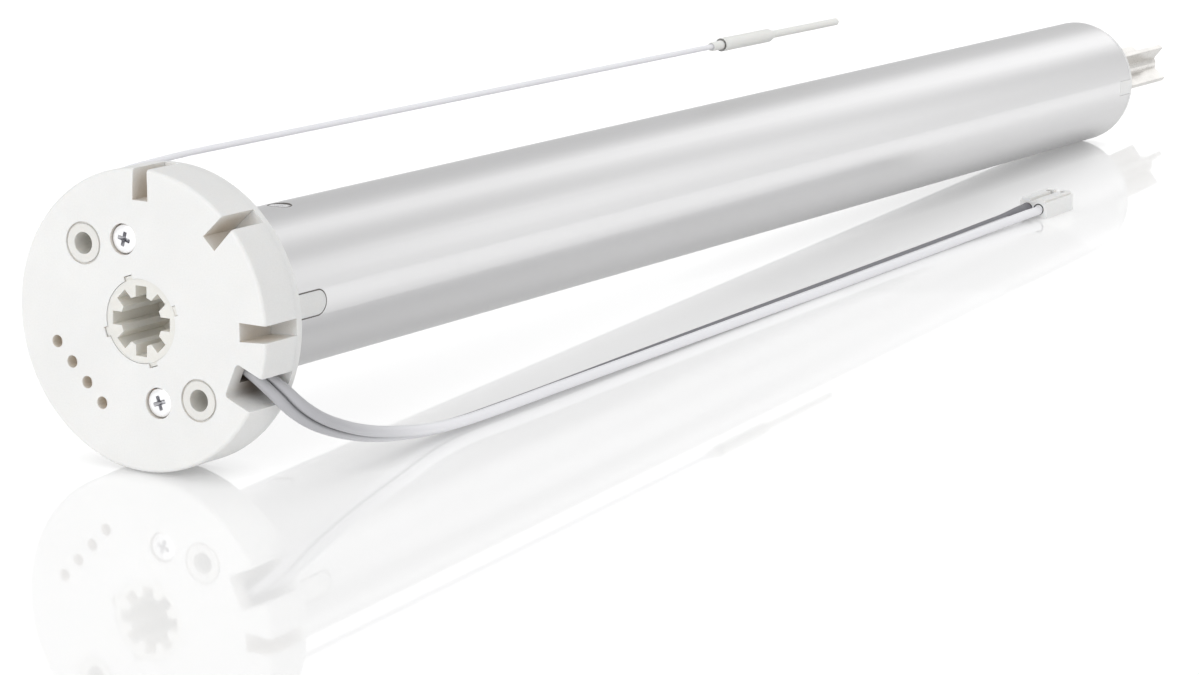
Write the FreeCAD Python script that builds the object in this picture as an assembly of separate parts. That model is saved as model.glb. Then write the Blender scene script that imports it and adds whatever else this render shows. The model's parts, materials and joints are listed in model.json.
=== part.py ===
import FreeCAD, Part
import math
import os

# Tubular roller shutter motor.
# Millimetres. +X runs along the motor from the front face of the head to the output shaft, +Z is up,
# and the origin is the middle of the head's front face. Angles round the axis start at +Y and grow
# towards +Z. The motor lies on its head rim and on the far end of its tube, so the surface that it
# lies on rises towards +X, and the lead and its plug lie on that surface.

V = FreeCAD.Vector

# ---- Driving dimensions ----
HEAD_R = 25.0
COVER_T = 8.5
FLANGE_T = 2.0
HEAD_T = COVER_T + FLANGE_T
TUBE_R = 14.0
TUBE_WALL = 1.0
TUBE_BORE = TUBE_R - TUBE_WALL
TUBE_END = 361.0
SHAFT_END = 402.0
SLIDE_GAP = 0.05                    # radial clearance of parts that slide or turn in each other

FACE_WALL = 3.0                     # thickness of the cover's front wall
POCKET_R = 17.2
RIM_SLOT_ANGLES = (90, 134, 178.5)
RIM_SLOT_W = 3.1
RIM_SLOT_MOUTH_W = 2.8              # the slots narrow towards the rim
RIM_SLOT_FLOOR = 19.8
NOTCH_ANGLE = 202.5
NOTCH_W = 6.1
NOTCH_FLOOR = 19.5
GLAND_IN, GLAND_OUT = 13.2, 16.4    # distances of the gland's two faces from the axis
GLAND_ASIDE = 1.0                   # how far the gland and the lead stand above the notch's middle
LEAD_HOLE_RADIUS = 9.3              # distance of the hole that takes the lead into the spigot
BRACKET_PCD = 33.0
BRACKET_ANGLES = (45, 225)
BUSH_R = 3.2
BUSH_HOLE_R = 1.8
COVER_SCREW_RADIUS = 13.6           # distance of the cover screws from the axis
COVER_SCREW_ANGLES = (75, 255)
SOCKET_R = 7.0
SOCKET_BORE_R = 4.1
SOCKET_GROOVE_R = 5.8
SOCKET_GROOVE_W = 2.2
SOCKET_DEPTH = 12.5
SOCKET_KEY_ANGLES = (70, 160, 250, 340)

SPIGOT_END = 48.0
KEY_W = 4.4                         # keys of the head base in the tube's U slots
KEY_TIP = 32.3
TUBE_SCREW_X = 38.3
TUBE_SCREW_ANGLES = (90, 270)
SCREW_SHANK_R = 1.15
CAP_KEY_W = 3.3
CAP_KEY_X = 354.9

SHAFT_WING_R = 5.75
SHAFT_WING_T = 1.2
SHAFT_HUB_R = 2.3
SHAFT_REST_ANGLE = 38.3             # where the first wing points at rest
JOURNAL_R = 6.0
RING_GROOVE_R = 5.4                 # groove of the retaining ring in the journal
RING_GROOVE_X = (338.4, 339.6)

MODULE = 0.5
SUN_TEETH = 9
PLANET_TEETH = 18
RING_TEETH = SUN_TEETH + 2 * PLANET_TEETH
PLANET_ORBIT = (SUN_TEETH + PLANET_TEETH) * MODULE / 2
ADDENDUM = 0.8 * MODULE
DEDENDUM = 1.2 * MODULE
TOOTH_HALF = 0.38 * math.pi * MODULE / 2
FLANK = math.tan(math.radians(20))
PIN_R = 1.2
ROTOR_SHAFT_R = 1.15

CABLE_D = 2.7
AERIAL_Y = 8.0
AERIAL_WIRE_R = 0.55

# ---- Stations along the axis ----
BOARD_START, BOARD_END = 52.0, 166.0
HALL_X = 170.0
BELL_START = 177.0
CAN_START, CAN_END = 185.0, 242.0
BRAKE_START, BRAKE_END = 246.0, 274.0
SLEEVE_END = 308.0
STAGES = ((279.0, 286.0, 289.5), (292.0, 301.0, 305.0))   # planets from, planets to, carrier plate to
CAP_START = 312.0
BEARING_START, BEARING_END = 340.0, 357.0

# ---- The surface that the motor lies on ----
REST_EDGE_X = HEAD_T - 1.0
FLOOR_SLOPE = (HEAD_R - TUBE_R) / (TUBE_END - REST_EDGE_X)
FLOOR_TILT = math.degrees(math.atan(FLOOR_SLOPE))


def floor_z(x):
    return -HEAD_R + (x - REST_EDGE_X) * FLOOR_SLOPE


# ---- Shapes that are used all over ----
def rod(radius, x0, x1, y=0.0, z=0.0):
    return Part.makeCylinder(radius, x1 - x0, V(x0, y, z), V(1, 0, 0))


def pipe(outer, inner, x0, x1, y=0.0, z=0.0):
    return rod(outer, x0, x1, y, z).cut(rod(inner, x0 - 1, x1 + 1, y, z))


def cone(r0, r1, x0, x1, y=0.0, z=0.0):
    return Part.makeCone(r0, r1, x1 - x0, V(x0, y, z), V(1, 0, 0))


def block(x0, x1, y0, y1, z0, z1):
    return Part.makeBox(x1 - x0, y1 - y0, z1 - z0, V(x0, y0, z0))


def spin(shape, degrees, y=0.0, z=0.0):
    turned = shape.copy()
    turned.rotate(V(0, y, z), V(1, 0, 0), degrees)
    return turned


def polar(radius, degrees):
    angle = math.radians(degrees)
    return radius * math.cos(angle), radius * math.sin(angle)


def join(first, *others):
    return first.multiFuse(list(others)).removeSplitter()


def carve(shape, *tools):
    return shape.cut(list(tools)).removeSplitter()


def group(*solids):
    return Part.makeCompound(list(solids))


def rim_edges(shape, x, radius):
    circles = [edge for edge in shape.Edges if isinstance(edge.Curve, Part.Circle)]
    return [e for e in circles if abs(e.Curve.Radius - radius) < 1e-6 and abs(e.Curve.Center.x - x) < 1e-6]


# ---- Round-cornered routes for the lead, the aerial and the inner wires ----
def route_wire(points):
    """Straight runs joined by tangent arcs, each as large as its two runs allow. Also gives the radii."""
    corners = [V(*p) for p in points]
    edges, radii = [], []
    start = corners[0]
    for before, corner, after in zip(corners, corners[1:], corners[2:]):
        back = (before - corner).normalize()
        ahead = (after - corner).normalize()
        half_turn = (math.pi - back.getAngle(ahead)) / 2
        reach = 0.45 * min((corner - before).Length, (after - corner).Length)
        radius = reach / math.tan(half_turn)
        entry = corner + back * reach
        leave = corner + ahead * reach
        inward = (back + ahead).normalize()
        middle = corner + inward * (radius / math.cos(half_turn) - radius)
        edges.append(Part.makeLine(start, entry))
        edges.append(Part.Arc(entry, middle, leave).toShape())
        radii.append(radius)
        start = leave
    edges.append(Part.makeLine(start, corners[-1]))
    return Part.Wire(edges), radii


def wire_along(points, diameter, label):
    path, radii = route_wire(points)
    start = V(*points[0])
    heading = V(*points[1]) - start
    section = Part.Wire(Part.makeCircle(diameter / 2, start, heading))
    solid = path.makePipeShell([section], True, False)
    expected = math.pi * diameter ** 2 / 4 * path.Length
    tightest = min(radii)
    print(f"{label}: length {path.Length:.1f}, tightest radius {tightest:.1f} = {tightest / diameter:.1f} d,"
          f" volume {solid.Volume:.1f} of {expected:.1f}")
    print("  radii", [round(r, 1) for r in radii])
    return solid


# ---- Head ----
def socket_keys(inner, outer, width, x0, x1):
    key = block(x0, x1, inner, outer, -width / 2, width / 2)
    return [spin(key, angle) for angle in SOCKET_KEY_ANGLES]


def rim_slot_tool():
    floor_half, mouth_half = RIM_SLOT_W / 2, RIM_SLOT_MOUTH_W / 2
    side = ((RIM_SLOT_FLOOR, floor_half), (HEAD_R, mouth_half), (HEAD_R + 1, mouth_half))
    other_side = tuple((y, -z) for y, z in reversed(side))
    outline = side + other_side + side[:1]
    face = Part.Face(Part.makePolygon([V(-1, y, z) for y, z in outline]))
    return face.extrude(V(COVER_T + 2, 0, 0))


def head_cover():
    disc = rod(HEAD_R, 0, COVER_T)
    disc = disc.makeFillet(0.6, rim_edges(disc, 0, HEAD_R))
    pillars = [rod(SOCKET_R + 1.2, FACE_WALL, COVER_T)]
    for angle in BRACKET_ANGLES:
        y, z = polar(BRACKET_PCD / 2, angle)
        pillars.append(rod(BUSH_R + 1.0, FACE_WALL, COVER_T, y, z))
    for angle in COVER_SCREW_ANGLES:
        y, z = polar(COVER_SCREW_RADIUS, angle)
        pillars.append(rod(3.2, FACE_WALL, 5.0, y, z))
    pocket = rod(POCKET_R, FACE_WALL, COVER_T + 1).cut(pillars)
    tools = [pocket, rod(SOCKET_R, -1, COVER_T + 1)]
    tools += socket_keys(SOCKET_R - 1, SOCKET_R + 0.7, 1.7, -1, COVER_T + 1)
    for angle in BRACKET_ANGLES:
        y, z = polar(BRACKET_PCD / 2, angle)
        tools.append(rod(BUSH_R, -1, COVER_T + 1, y, z))
        tools.append(rod(BUSH_R + 0.35, -1, 0.5, y, z))
    for angle in COVER_SCREW_ANGLES:
        y, z = polar(COVER_SCREW_RADIUS, angle)
        tools.append(rod(2.6, -1, 1.9, y, z))
        tools.append(rod(1.3, 0, 6, y, z))
    for step in range(4):
        hole = rod(1.05, -1, 2.2, 15.9, -4.6 + 4.34 * step)
        tools.append(spin(hole, -45))
    rim_slot = rim_slot_tool()
    tools += [spin(rim_slot, angle) for angle in RIM_SLOT_ANGLES]
    notch = block(-1, COVER_T + 1, NOTCH_FLOOR, HEAD_R + 1, -NOTCH_W / 2, NOTCH_W / 2)
    along = [e for e in notch.Edges if abs(e.BoundBox.XLength - COVER_T - 2) < 1e-6]
    notch = notch.makeFillet(0.7, [e for e in along if e.BoundBox.YMax < HEAD_R])
    window = block(FACE_WALL, COVER_T + 1, POCKET_R - 2, HEAD_R - 3, -2.0 - GLAND_ASIDE, 2.1 - GLAND_ASIDE)
    tools += [spin(notch, NOTCH_ANGLE), spin(window, NOTCH_ANGLE), aerial_channel()]
    return carve(disc, *tools)


def head_base():
    flange = rod(HEAD_R, COVER_T, HEAD_T)
    flange = flange.makeFillet(1.0, rim_edges(flange, HEAD_T, HEAD_R))
    parts = [flange, rod(TUBE_BORE - SLIDE_GAP, HEAD_T, SPIGOT_END)]
    for angle in COVER_SCREW_ANGLES:
        y, z = polar(COVER_SCREW_RADIUS, angle)
        parts.append(rod(3.2, 5.0, COVER_T, y, z))
    tip_centre = KEY_TIP - KEY_W / 2
    key = block(HEAD_T - 0.5, tip_centre, 12.0, TUBE_R + 1, -KEY_W / 2, KEY_W / 2)
    key = key.fuse(Part.makeCylinder(KEY_W / 2, TUBE_R - 11, V(tip_centre, 12.0, 0), V(0, 1, 0)))
    key = key.common(rod(TUBE_R, HEAD_T - 1, KEY_TIP + 1))
    parts += [key, spin(key, 180)]
    tools = [rod(10.4, 15.5, SPIGOT_END + 1), rod(SOCKET_R, COVER_T - 1, SOCKET_DEPTH + 1)]
    for angle in COVER_SCREW_ANGLES:
        y, z = polar(COVER_SCREW_RADIUS, angle)
        tools.append(rod(1.25, 4, 9.8, y, z))
    for angle in TUBE_SCREW_ANGLES:
        tools.append(spin(Part.makeCylinder(SCREW_SHANK_R, 4, V(TUBE_SCREW_X, 9.5, 0), V(0, 1, 0)), angle))
    lead_y, lead_z = polar(LEAD_HOLE_RADIUS, NOTCH_ANGLE)
    tools.append(rod(1.6, COVER_T - 1, 16, lead_y, lead_z))
    tools.append(aerial_channel())
    return carve(join(*parts), *tools)


def star_socket():
    body = rod(SOCKET_R - SLIDE_GAP, 0.15, SOCKET_DEPTH + 1)
    body = join(body, *socket_keys(SOCKET_R - 1, SOCKET_R + 0.6, 1.6, 0.3, 8.0))
    groove = block(-1, SOCKET_DEPTH, 0, SOCKET_GROOVE_R, -SOCKET_GROOVE_W / 2, SOCKET_GROOVE_W / 2)
    tools = [rod(SOCKET_BORE_R, -1, SOCKET_DEPTH)]
    tools += [spin(groove, 45 * step) for step in range(8)]
    return carve(body, *tools)


def bracket_bushes():
    bushes = []
    for angle in BRACKET_ANGLES:
        y, z = polar(BRACKET_PCD / 2, angle)
        bush = rod(BUSH_R, 0, COVER_T, y, z)
        bushes.append(carve(bush, rod(BUSH_HOLE_R, -1, COVER_T - 0.5, y, z)))
    return group(*bushes)


def cross_recess(x0, x1, width, length):
    bar = block(x0, x1, -length / 2, length / 2, -width / 2, width / 2)
    return bar.fuse(spin(bar, 90))


def cover_screws():
    screws = []
    for angle in COVER_SCREW_ANGLES:
        head = rod(2.2, 0.5, 1.9)
        head = head.makeFillet(0.4, rim_edges(head, 0.5, 2.2))
        screw = carve(join(head, rod(1.25, 1.9, 9.6)), cross_recess(-1, 1.3, 0.6, 2.6))
        screw.translate(V(0, *polar(COVER_SCREW_RADIUS, angle)))
        screws.append(screw)
    return group(*screws)


def cable_gland():
    body = block(FACE_WALL + 0.1, COVER_T - 0.1, GLAND_IN, GLAND_OUT, -2.0, 2.0)
    grooves = [block(FACE_WALL, COVER_T, GLAND_IN + x, GLAND_IN + x + 0.5, 1.7, 2.1) for x in (0.7, 2.0)]
    gland = carve(body, *grooves)
    gland.translate(V(0, 0, -GLAND_ASIDE))
    return spin(gland, NOTCH_ANGLE)


# ---- Tube ----
def motor_tube():
    shell = pipe(TUBE_R, TUBE_BORE, HEAD_T, TUBE_END)
    width = KEY_W + 0.1
    tip_centre = KEY_TIP - KEY_W / 2
    slot = block(HEAD_T - 1, tip_centre, 12, TUBE_R + 1, -width / 2, width / 2)
    slot = slot.fuse(Part.makeCylinder(width / 2, 4, V(tip_centre, 12, 0), V(0, 1, 0)))
    notch = block(CAP_KEY_X - 0.1, TUBE_END + 1, 12, TUBE_R + 1, -CAP_KEY_W / 2 - 0.05, CAP_KEY_W / 2 + 0.05)
    screw_hole = Part.makeCylinder(2.1, 4, V(TUBE_SCREW_X, 12, 0), V(0, 1, 0))
    tools = [slot, spin(slot, 180), notch, spin(notch, 180)]
    tools += [spin(screw_hole, angle) for angle in TUBE_SCREW_ANGLES]
    return carve(shell, *tools)


def tube_screws():
    head = Part.makeCylinder(1.95, 0.85, V(TUBE_SCREW_X, TUBE_BORE - SLIDE_GAP, 0), V(0, 1, 0))
    shank = Part.makeCylinder(SCREW_SHANK_R, 3.2, V(TUBE_SCREW_X, 9.8, 0), V(0, 1, 0))
    bar = block(TUBE_SCREW_X - 1.2, TUBE_SCREW_X + 1.2, 13.3, 15, -0.28, 0.28)
    cross = bar.fuse(block(TUBE_SCREW_X - 0.28, TUBE_SCREW_X + 0.28, 13.3, 15, -1.2, 1.2))
    screw = carve(join(head, shank), cross)
    return group(*[spin(screw, angle) for angle in TUBE_SCREW_ANGLES])


# ---- Electronics ----
BOARD_TOP = -0.8
CHOKE_X = 140.0
BOARD_T = 1.6


def board_tray():
    shell = pipe(12.8, 11.6, BOARD_START - 2, BOARD_END + 2)
    below = block(BOARD_START - 3, BOARD_END + 3, -14, 14, -14, BOARD_TOP - BOARD_T)
    trough = shell.common(below)
    ledge = block(BOARD_START - 2, BOARD_END + 2, 9.4, 11.8, BOARD_TOP - BOARD_T - 1.2, BOARD_TOP - BOARD_T)
    ledges = ledge.fuse(ledge.mirror(V(0, 0, 0), V(0, 1, 0)))
    return join(trough, ledges)


def control_board():
    board = block(BOARD_START, BOARD_END, -10.4, 10.4, BOARD_TOP - BOARD_T, BOARD_TOP)
    corners = [(x, y) for x in (BOARD_START + 3.5, BOARD_END - 3.5) for y in (-8, 8)]
    return carve(board, *[Part.makeCylinder(1.1, 4, V(x, y, -4)) for x, y in corners])


def radio_module():
    pins = block(66, 80, -5.6, -4.4, BOARD_TOP, BOARD_TOP + 1.6)
    board = block(64, 82, -6.5, 6.5, BOARD_TOP + 1.6, BOARD_TOP + 2.4)
    shield = block(66, 78, -5, 5, BOARD_TOP + 2.4, BOARD_TOP + 4.4)
    return join(pins, pins.mirror(V(0, 0, 0), V(0, 1, 0)), board, shield)


def board_chips():
    controller = (85, 92, -3.5, 3.5, 1.4)
    drivers = ((94.5, 97.5, -7, -3, 1.1), (94.5, 97.5, 3, 7, 1.1))
    switches = ((128, 133, -8, -3, 1.5), (128, 133, 3, 8, 1.5))
    regulator = (53.5, 57.5, 2, 7, 2.6)
    places = (controller, *drivers, *switches, regulator)
    return group(*[block(x0, x1, y0, y1, BOARD_TOP, BOARD_TOP + height) for x0, x1, y0, y1, height in places])


def capacitors():
    cans = []
    for x in (103.5, 113.0, 122.5):
        can = Part.makeCylinder(4.0, 9.0, V(x, 0, BOARD_TOP))
        top = [e for e in can.Edges if e.BoundBox.ZMin > BOARD_TOP + 1 and e.BoundBox.ZLength < 0.1]
        cans.append(can.makeFillet(0.5, top))
    return group(*cans)


def choke():
    spool = Part.makeCylinder(4.6, 1.0, V(CHOKE_X, 0, BOARD_TOP))
    core = Part.makeCylinder(3.6, 5.0, V(CHOKE_X, 0, BOARD_TOP + 1.0))
    lid = Part.makeCylinder(4.6, 1.0, V(CHOKE_X, 0, BOARD_TOP + 6.0))
    return join(spool, core, lid)


def lead_header():
    shell = block(53, 60, -9, -3, BOARD_TOP, BOARD_TOP + 4.6)
    return carve(shell, block(51, 58.5, -8.2, -3.8, BOARD_TOP + 0.6, BOARD_TOP + 4.0))


def motor_terminals():
    base = block(150, 157, -8, 8, BOARD_TOP, BOARD_TOP + 2.4)
    tabs = [block(151, 156, y - 0.4, y + 0.4, BOARD_TOP + 2.4, BOARD_TOP + 5.6) for y in (-6, 6)]
    return join(base, *tabs)


def hall_board():
    disc = rod(11.0, HALL_X, HALL_X + 1.2)
    holes = [rod(1.2, HALL_X - 1, HALL_X + 3, y, 4.0) for y in (-6, 6)]
    sensors = [block(HALL_X + 1.2, HALL_X + 2.0, y - 1, y + 1, -5.5, -3.0) for y in (-3, 3)]
    return join(carve(disc, rod(2.4, HALL_X - 1, HALL_X + 3), *holes), *sensors)


# ---- Direct-current motor ----
def end_bell():
    cup = rod(12.2, BELL_START, CAN_START)
    boss = rod(3.6, BELL_START, BELL_START + 4.5)
    inside = rod(10.4, BELL_START + 2, CAN_START + 1).cut(boss)
    holes = [rod(1.0, BELL_START - 1, BELL_START + 3, y, 4.0) for y in (-6, 6)]
    return carve(cup, inside, rod(2.4, BELL_START - 1, BELL_START + 6), *holes)


def rear_bearing():
    return pipe(2.4, ROTOR_SHAFT_R + SLIDE_GAP, BELL_START + 0.5, BELL_START + 4.5)


def motor_can():
    wall = pipe(12.2, 11.4, CAN_START, CAN_END)
    front = pipe(12.2, 2.4, CAN_END - 1.2, CAN_END)
    boss = pipe(4.2, 2.4, CAN_END, CAN_END + 2.4)
    vents = [spin(block(CAN_END - 2, CAN_END + 1, 6.5, 9.0, -1.6, 1.6), 30 + 60 * step) for step in range(6)]
    return carve(join(wall, front, boss), *vents)


def front_bearing():
    return pipe(2.4, ROTOR_SHAFT_R + SLIDE_GAP, CAN_END - 2.2, CAN_END + 2.2)


def magnets():
    ring = pipe(11.4, 9.4, CAN_START + 7, CAN_END - 10)
    gap = block(CAN_START, CAN_END, -12, 12, -2.6, 2.6)     # parts the ring into two poles
    return carve(ring, gap)


def armature_core():
    stack = rod(8.9, CAN_START + 12, CAN_END - 15)
    tools = [rod(ROTOR_SHAFT_R, CAN_START, CAN_END)]
    for step in range(5):
        slot = block(CAN_START, CAN_END, 5.0, 10.0, -0.8, 0.8)
        bed = rod(2.2, CAN_START, CAN_END, 5.6, 0)
        tools.append(spin(slot.fuse(bed), 72 * step))
    return carve(stack, *tools)


def windings():
    coils = []
    ends = (pipe(7.8, 3.4, CAN_START + 8.5, CAN_START + 12), pipe(7.8, 3.4, CAN_END - 15, CAN_END - 11.5))
    for step in range(5):
        coils.append(spin(rod(2.0, CAN_START + 10, CAN_END - 13, 5.6, 0), 72 * step))
    return join(*ends, *coils)


def commutator():
    drum = pipe(2.9, ROTOR_SHAFT_R, CAN_START + 1.5, CAN_START + 7.5)
    cut = block(CAN_START + 1, CAN_START + 6.5, 2.4, 4, -0.15, 0.15)
    return carve(drum, *[spin(cut, 36 + 72 * step) for step in range(5)])


def brushes():
    brush = block(CAN_START + 2.5, CAN_START + 5.5, 2.95, 6.2, -1.2, 1.2)
    brush = carve(brush, rod(2.95, CAN_START, CAN_START + 8))
    return group(spin(brush, 90), spin(brush, 270))


def brush_springs():
    post = block(CAN_START - 2, CAN_START - 0.5, 6.2, 10.25, -1.5, 1.5)
    leaf = block(CAN_START - 2, CAN_START + 5, 6.2, 6.5, -0.9, 0.9)
    spring = join(post, leaf)
    return group(spin(spring, 90), spin(spring, 270))


def motor_shaft():
    return rod(ROTOR_SHAFT_R, HALL_X + 1.8, STAGES[0][1] + 0.6)


def encoder_magnet():
    return pipe(4.4, ROTOR_SHAFT_R, HALL_X + 2.4, HALL_X + 5.4)


def damper_rings():
    return group(*[pipe(12.95, 12.2, x, x + 6) for x in (CAN_START + 4, CAN_END - 12)])


# ---- Holding brake ----
def brake_housing():
    wall = pipe(12.95, 10.0, BRAKE_START, BRAKE_END)
    front = pipe(10.0, 3.0, BRAKE_START, BRAKE_START + 2)
    ledge = pipe(10.0, 5.2, BRAKE_START + 18, BRAKE_START + 20)
    return join(wall, front, ledge)


def brake_disc():
    disc = pipe(8.0, ROTOR_SHAFT_R, BRAKE_START + 10, BRAKE_START + 12)
    hub = pipe(3.0, ROTOR_SHAFT_R, BRAKE_START + 8, BRAKE_START + 14)
    return join(disc, hub)


def brake_pad():
    ring = pipe(8.5, 4.0, BRAKE_START + 12.2, BRAKE_START + 14.2)
    ear = block(BRAKE_START + 12.2, BRAKE_START + 14.2, 8.0, 9.8, -1.5, 1.5)
    return join(ring, *[spin(ear, 120 * step) for step in range(3)])


def brake_spring():
    x0, x1 = BRAKE_START + 14.2, BRAKE_START + 18
    return cone(6.0, 8.6, x0, x1).cut(cone(5.4, 8.0, x0, x1))


# ---- Two-stage planetary gearbox ----
def tooth(root, pitch, tip, x0, x1):
    """One straight-sided tooth along +Y. Its root end runs a little into the gear's body."""
    sunk = root + math.copysign(0.15, root - tip)
    half_root = TOOTH_HALF + abs(sunk - pitch) * FLANK
    half_tip = TOOTH_HALF - abs(tip - pitch) * FLANK
    corners = [V(x0, sunk, -half_root), V(x0, tip, -half_tip), V(x0, tip, half_tip), V(x0, sunk, half_root)]
    outline = Part.makePolygon(corners + corners[:1])
    return Part.Face(outline).extrude(V(x1 - x0, 0, 0))


def spur_gear(teeth, bore, x0, x1):
    pitch = teeth * MODULE / 2
    one = tooth(pitch - DEDENDUM, pitch, pitch + ADDENDUM, x0, x1)
    ring = [spin(one, 360 * step / teeth) for step in range(teeth)]
    gear = rod(pitch - DEDENDUM, x0, x1).multiFuse(ring)
    if bore:
        gear = gear.cut(rod(bore, x0 - 1, x1 + 1))
    return gear.removeSplitter()


def gear_sleeve():
    pitch = RING_TEETH * MODULE / 2
    one = tooth(pitch + DEDENDUM, pitch, pitch - ADDENDUM, BRAKE_END, SLEEVE_END)
    ring = [spin(one, 360 * step / RING_TEETH) for step in range(RING_TEETH)]
    body = pipe(TUBE_BORE - SLIDE_GAP, pitch + DEDENDUM, BRAKE_END, SLEEVE_END).multiFuse(ring)
    end_wall = pipe(TUBE_BORE - SLIDE_GAP, 4.0, BRAKE_END, BRAKE_END + 2)
    return join(body, end_wall)


def planet(stage, step):
    """A planet has a tooth gap facing the sun, so it starts half a tooth round."""
    x0, x1, _ = STAGES[stage]
    gear = spin(spur_gear(PLANET_TEETH, PIN_R + SLIDE_GAP, x0, x1), 180 / PLANET_TEETH)
    gear.translate(V(0, PLANET_ORBIT, 0))
    return spin(gear, 120 * step)


def carrier(stage, middle_hole):
    x0, x1, plate_end = STAGES[stage]
    pins = [spin(rod(PIN_R, x0 + 0.2, x1 + 1.2, PLANET_ORBIT, 0), 120 * step) for step in range(3)]
    plate = pipe(10.3, middle_hole, x1 + 1, plate_end)
    return join(plate, *pins)


def sun_gear_1():
    return spur_gear(SUN_TEETH, ROTOR_SHAFT_R, STAGES[0][0] - 0.6, STAGES[0][1] + 0.6)


def sun_gear_2():
    teeth = spur_gear(SUN_TEETH, 0, STAGES[1][0] - 0.8, STAGES[1][1] + 0.6)
    return join(teeth, rod(1.6, STAGES[0][1] + 1, STAGES[1][0] - 0.8))


def carrier_1():
    return carrier(0, 1.6)


def carrier_2():
    x1 = STAGES[1][2]
    hub = rod(6.4, x1, x1 + 18)
    square = block(x1 + 4, x1 + 19, -3.3, 3.3, -3.3, 3.3)
    return join(carrier(1, 0.8), hub.cut(square))


# ---- Output end ----
def end_cap():
    plug = pipe(TUBE_BORE - SLIDE_GAP, 9.0, CAP_START, TUBE_END)
    rim = rod(13.8, TUBE_END, TUBE_END + 1.0)
    rim = rim.makeFillet(0.4, rim_edges(rim, TUBE_END + 1.0, 13.8))
    lip = rod(9.5, BEARING_END, TUBE_END)
    key = block(CAP_KEY_X, TUBE_END, 12.5, TUBE_R + 1, -CAP_KEY_W / 2, CAP_KEY_W / 2)
    key = key.common(rod(TUBE_R, CAP_KEY_X - 1, TUBE_END + 1))
    body = join(plug, rim, lip, key, spin(key, 180))
    return carve(body, rod(JOURNAL_R + 0.3, BEARING_END - 1, TUBE_END + 2))


def output_bearing():
    return pipe(9.0, JOURNAL_R + SLIDE_GAP, BEARING_START, BEARING_END)


def output_shaft():
    tang = block(STAGES[1][2] + 5, 335, -3.2, 3.2, -3.2, 3.2)
    journal = carve(rod(JOURNAL_R, 334, TUBE_END + 0.6), pipe(JOURNAL_R + 1, RING_GROOVE_R, *RING_GROOVE_X))
    wing = block(TUBE_END, SHAFT_END, -SHAFT_WING_R, SHAFT_WING_R, -SHAFT_WING_T / 2, SHAFT_WING_T / 2)
    wings = wing.fuse(spin(wing, 90)).common(rod(SHAFT_WING_R, TUBE_END, SHAFT_END))
    wings = spin(wings, SHAFT_REST_ANGLE)
    return join(tang, journal, wings, rod(SHAFT_HUB_R, TUBE_END, SHAFT_END))


def retaining_ring():
    ring = pipe(7.8, RING_GROOVE_R, *RING_GROOVE_X)
    mouth = block(RING_GROOVE_X[0] - 1, RING_GROOVE_X[1] + 1, 0, 9, -1.2, 1.2)
    return carve(ring, mouth)


# ---- Lead and plug ----
def beside_notch_middle(radius):
    """(y, z) on the line along which the lead leaves the gland."""
    along = polar(radius, NOTCH_ANGLE)
    aside = polar(GLAND_ASIDE, NOTCH_ANGLE - 90)
    return along[0] + aside[0], along[1] + aside[1]


PLUG_L, PLUG_W, PLUG_H = 12.5, 6.4, 3.5
PLUG_RIB_TOP = 4.1
PLUG_CORE_Y = 1.35                  # distance of each wire hole from the plug's middle
PLUG_ENTRY_H = 1.9                  # height of the wire holes above the plug's foot
LEAD_REST_H = 1.4                   # height of the lead's middle where it lies on the floor
LEAD_ROUTE = (
    (5.1, *beside_notch_middle(GLAND_OUT)),
    (5.1, *beside_notch_middle(23.0)),
    (8.7, -26.7, -14.2),
    (19.0, -28.8, -18.3),
    (31.0, -29.4, floor_z(31.0) + 3.7),
    (47.0, -28.3, floor_z(47.0) + LEAD_REST_H),
    (70.0, -29.0, floor_z(70.0) + LEAD_REST_H),
    (108.0, -29.1, floor_z(108.0) + LEAD_REST_H),
    (152.0, -29.5, floor_z(152.0) + LEAD_REST_H),
    (196.0, -30.0, floor_z(196.0) + LEAD_REST_H),
    (232.0, -30.6, floor_z(232.0) + LEAD_REST_H),
    (253.0, -31.7, floor_z(253.0) + PLUG_ENTRY_H),
    (269.5, -32.3, floor_z(269.5) + PLUG_ENTRY_H),
)


def power_cable():
    return wire_along(LEAD_ROUTE, CABLE_D, "power_cable")


def laid_at_plug(shape):
    """Moves a shape drawn with its wire face on x = 0 and its foot on z = 0 to the lead's end."""
    before, end = LEAD_ROUTE[-2], LEAD_ROUTE[-1]
    yaw = math.degrees(math.atan2(end[1] - before[1], end[0] - before[0]))
    placed = shape.copy()
    placed.translate(V(0, 0, -PLUG_ENTRY_H))
    placed.rotate(V(0, 0, 0), V(0, 0, 1), yaw)
    placed.rotate(V(0, 0, 0), V(0, 1, 0), -FLOOR_TILT)
    placed.translate(V(*end))
    return placed


def plug_housing():
    parts = [block(0, PLUG_L, -PLUG_W / 2, PLUG_W / 2, 0, PLUG_H)]
    tools = []
    for y in (-PLUG_CORE_Y, PLUG_CORE_Y):
        outer = math.copysign(0.35, y)
        parts.append(block(0, PLUG_L, y + outer - 1.0, y + outer + 1.0, PLUG_H - 0.5, PLUG_RIB_TOP))
        tools.append(block(2.5, PLUG_L + 1, y - 1.05, y + 1.05, 0.9, 2.9))
        tools.append(block(9.6, 11.2, y - 0.7, y + 0.7, 2.5, PLUG_RIB_TOP + 1))
    return laid_at_plug(carve(join(*parts), *tools))


def plug_contacts():
    contacts = [block(2.5, 11.6, y - 0.85, y + 0.85, 0.9, 2.2) for y in (-PLUG_CORE_Y, PLUG_CORE_Y)]
    return laid_at_plug(group(*contacts))


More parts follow.
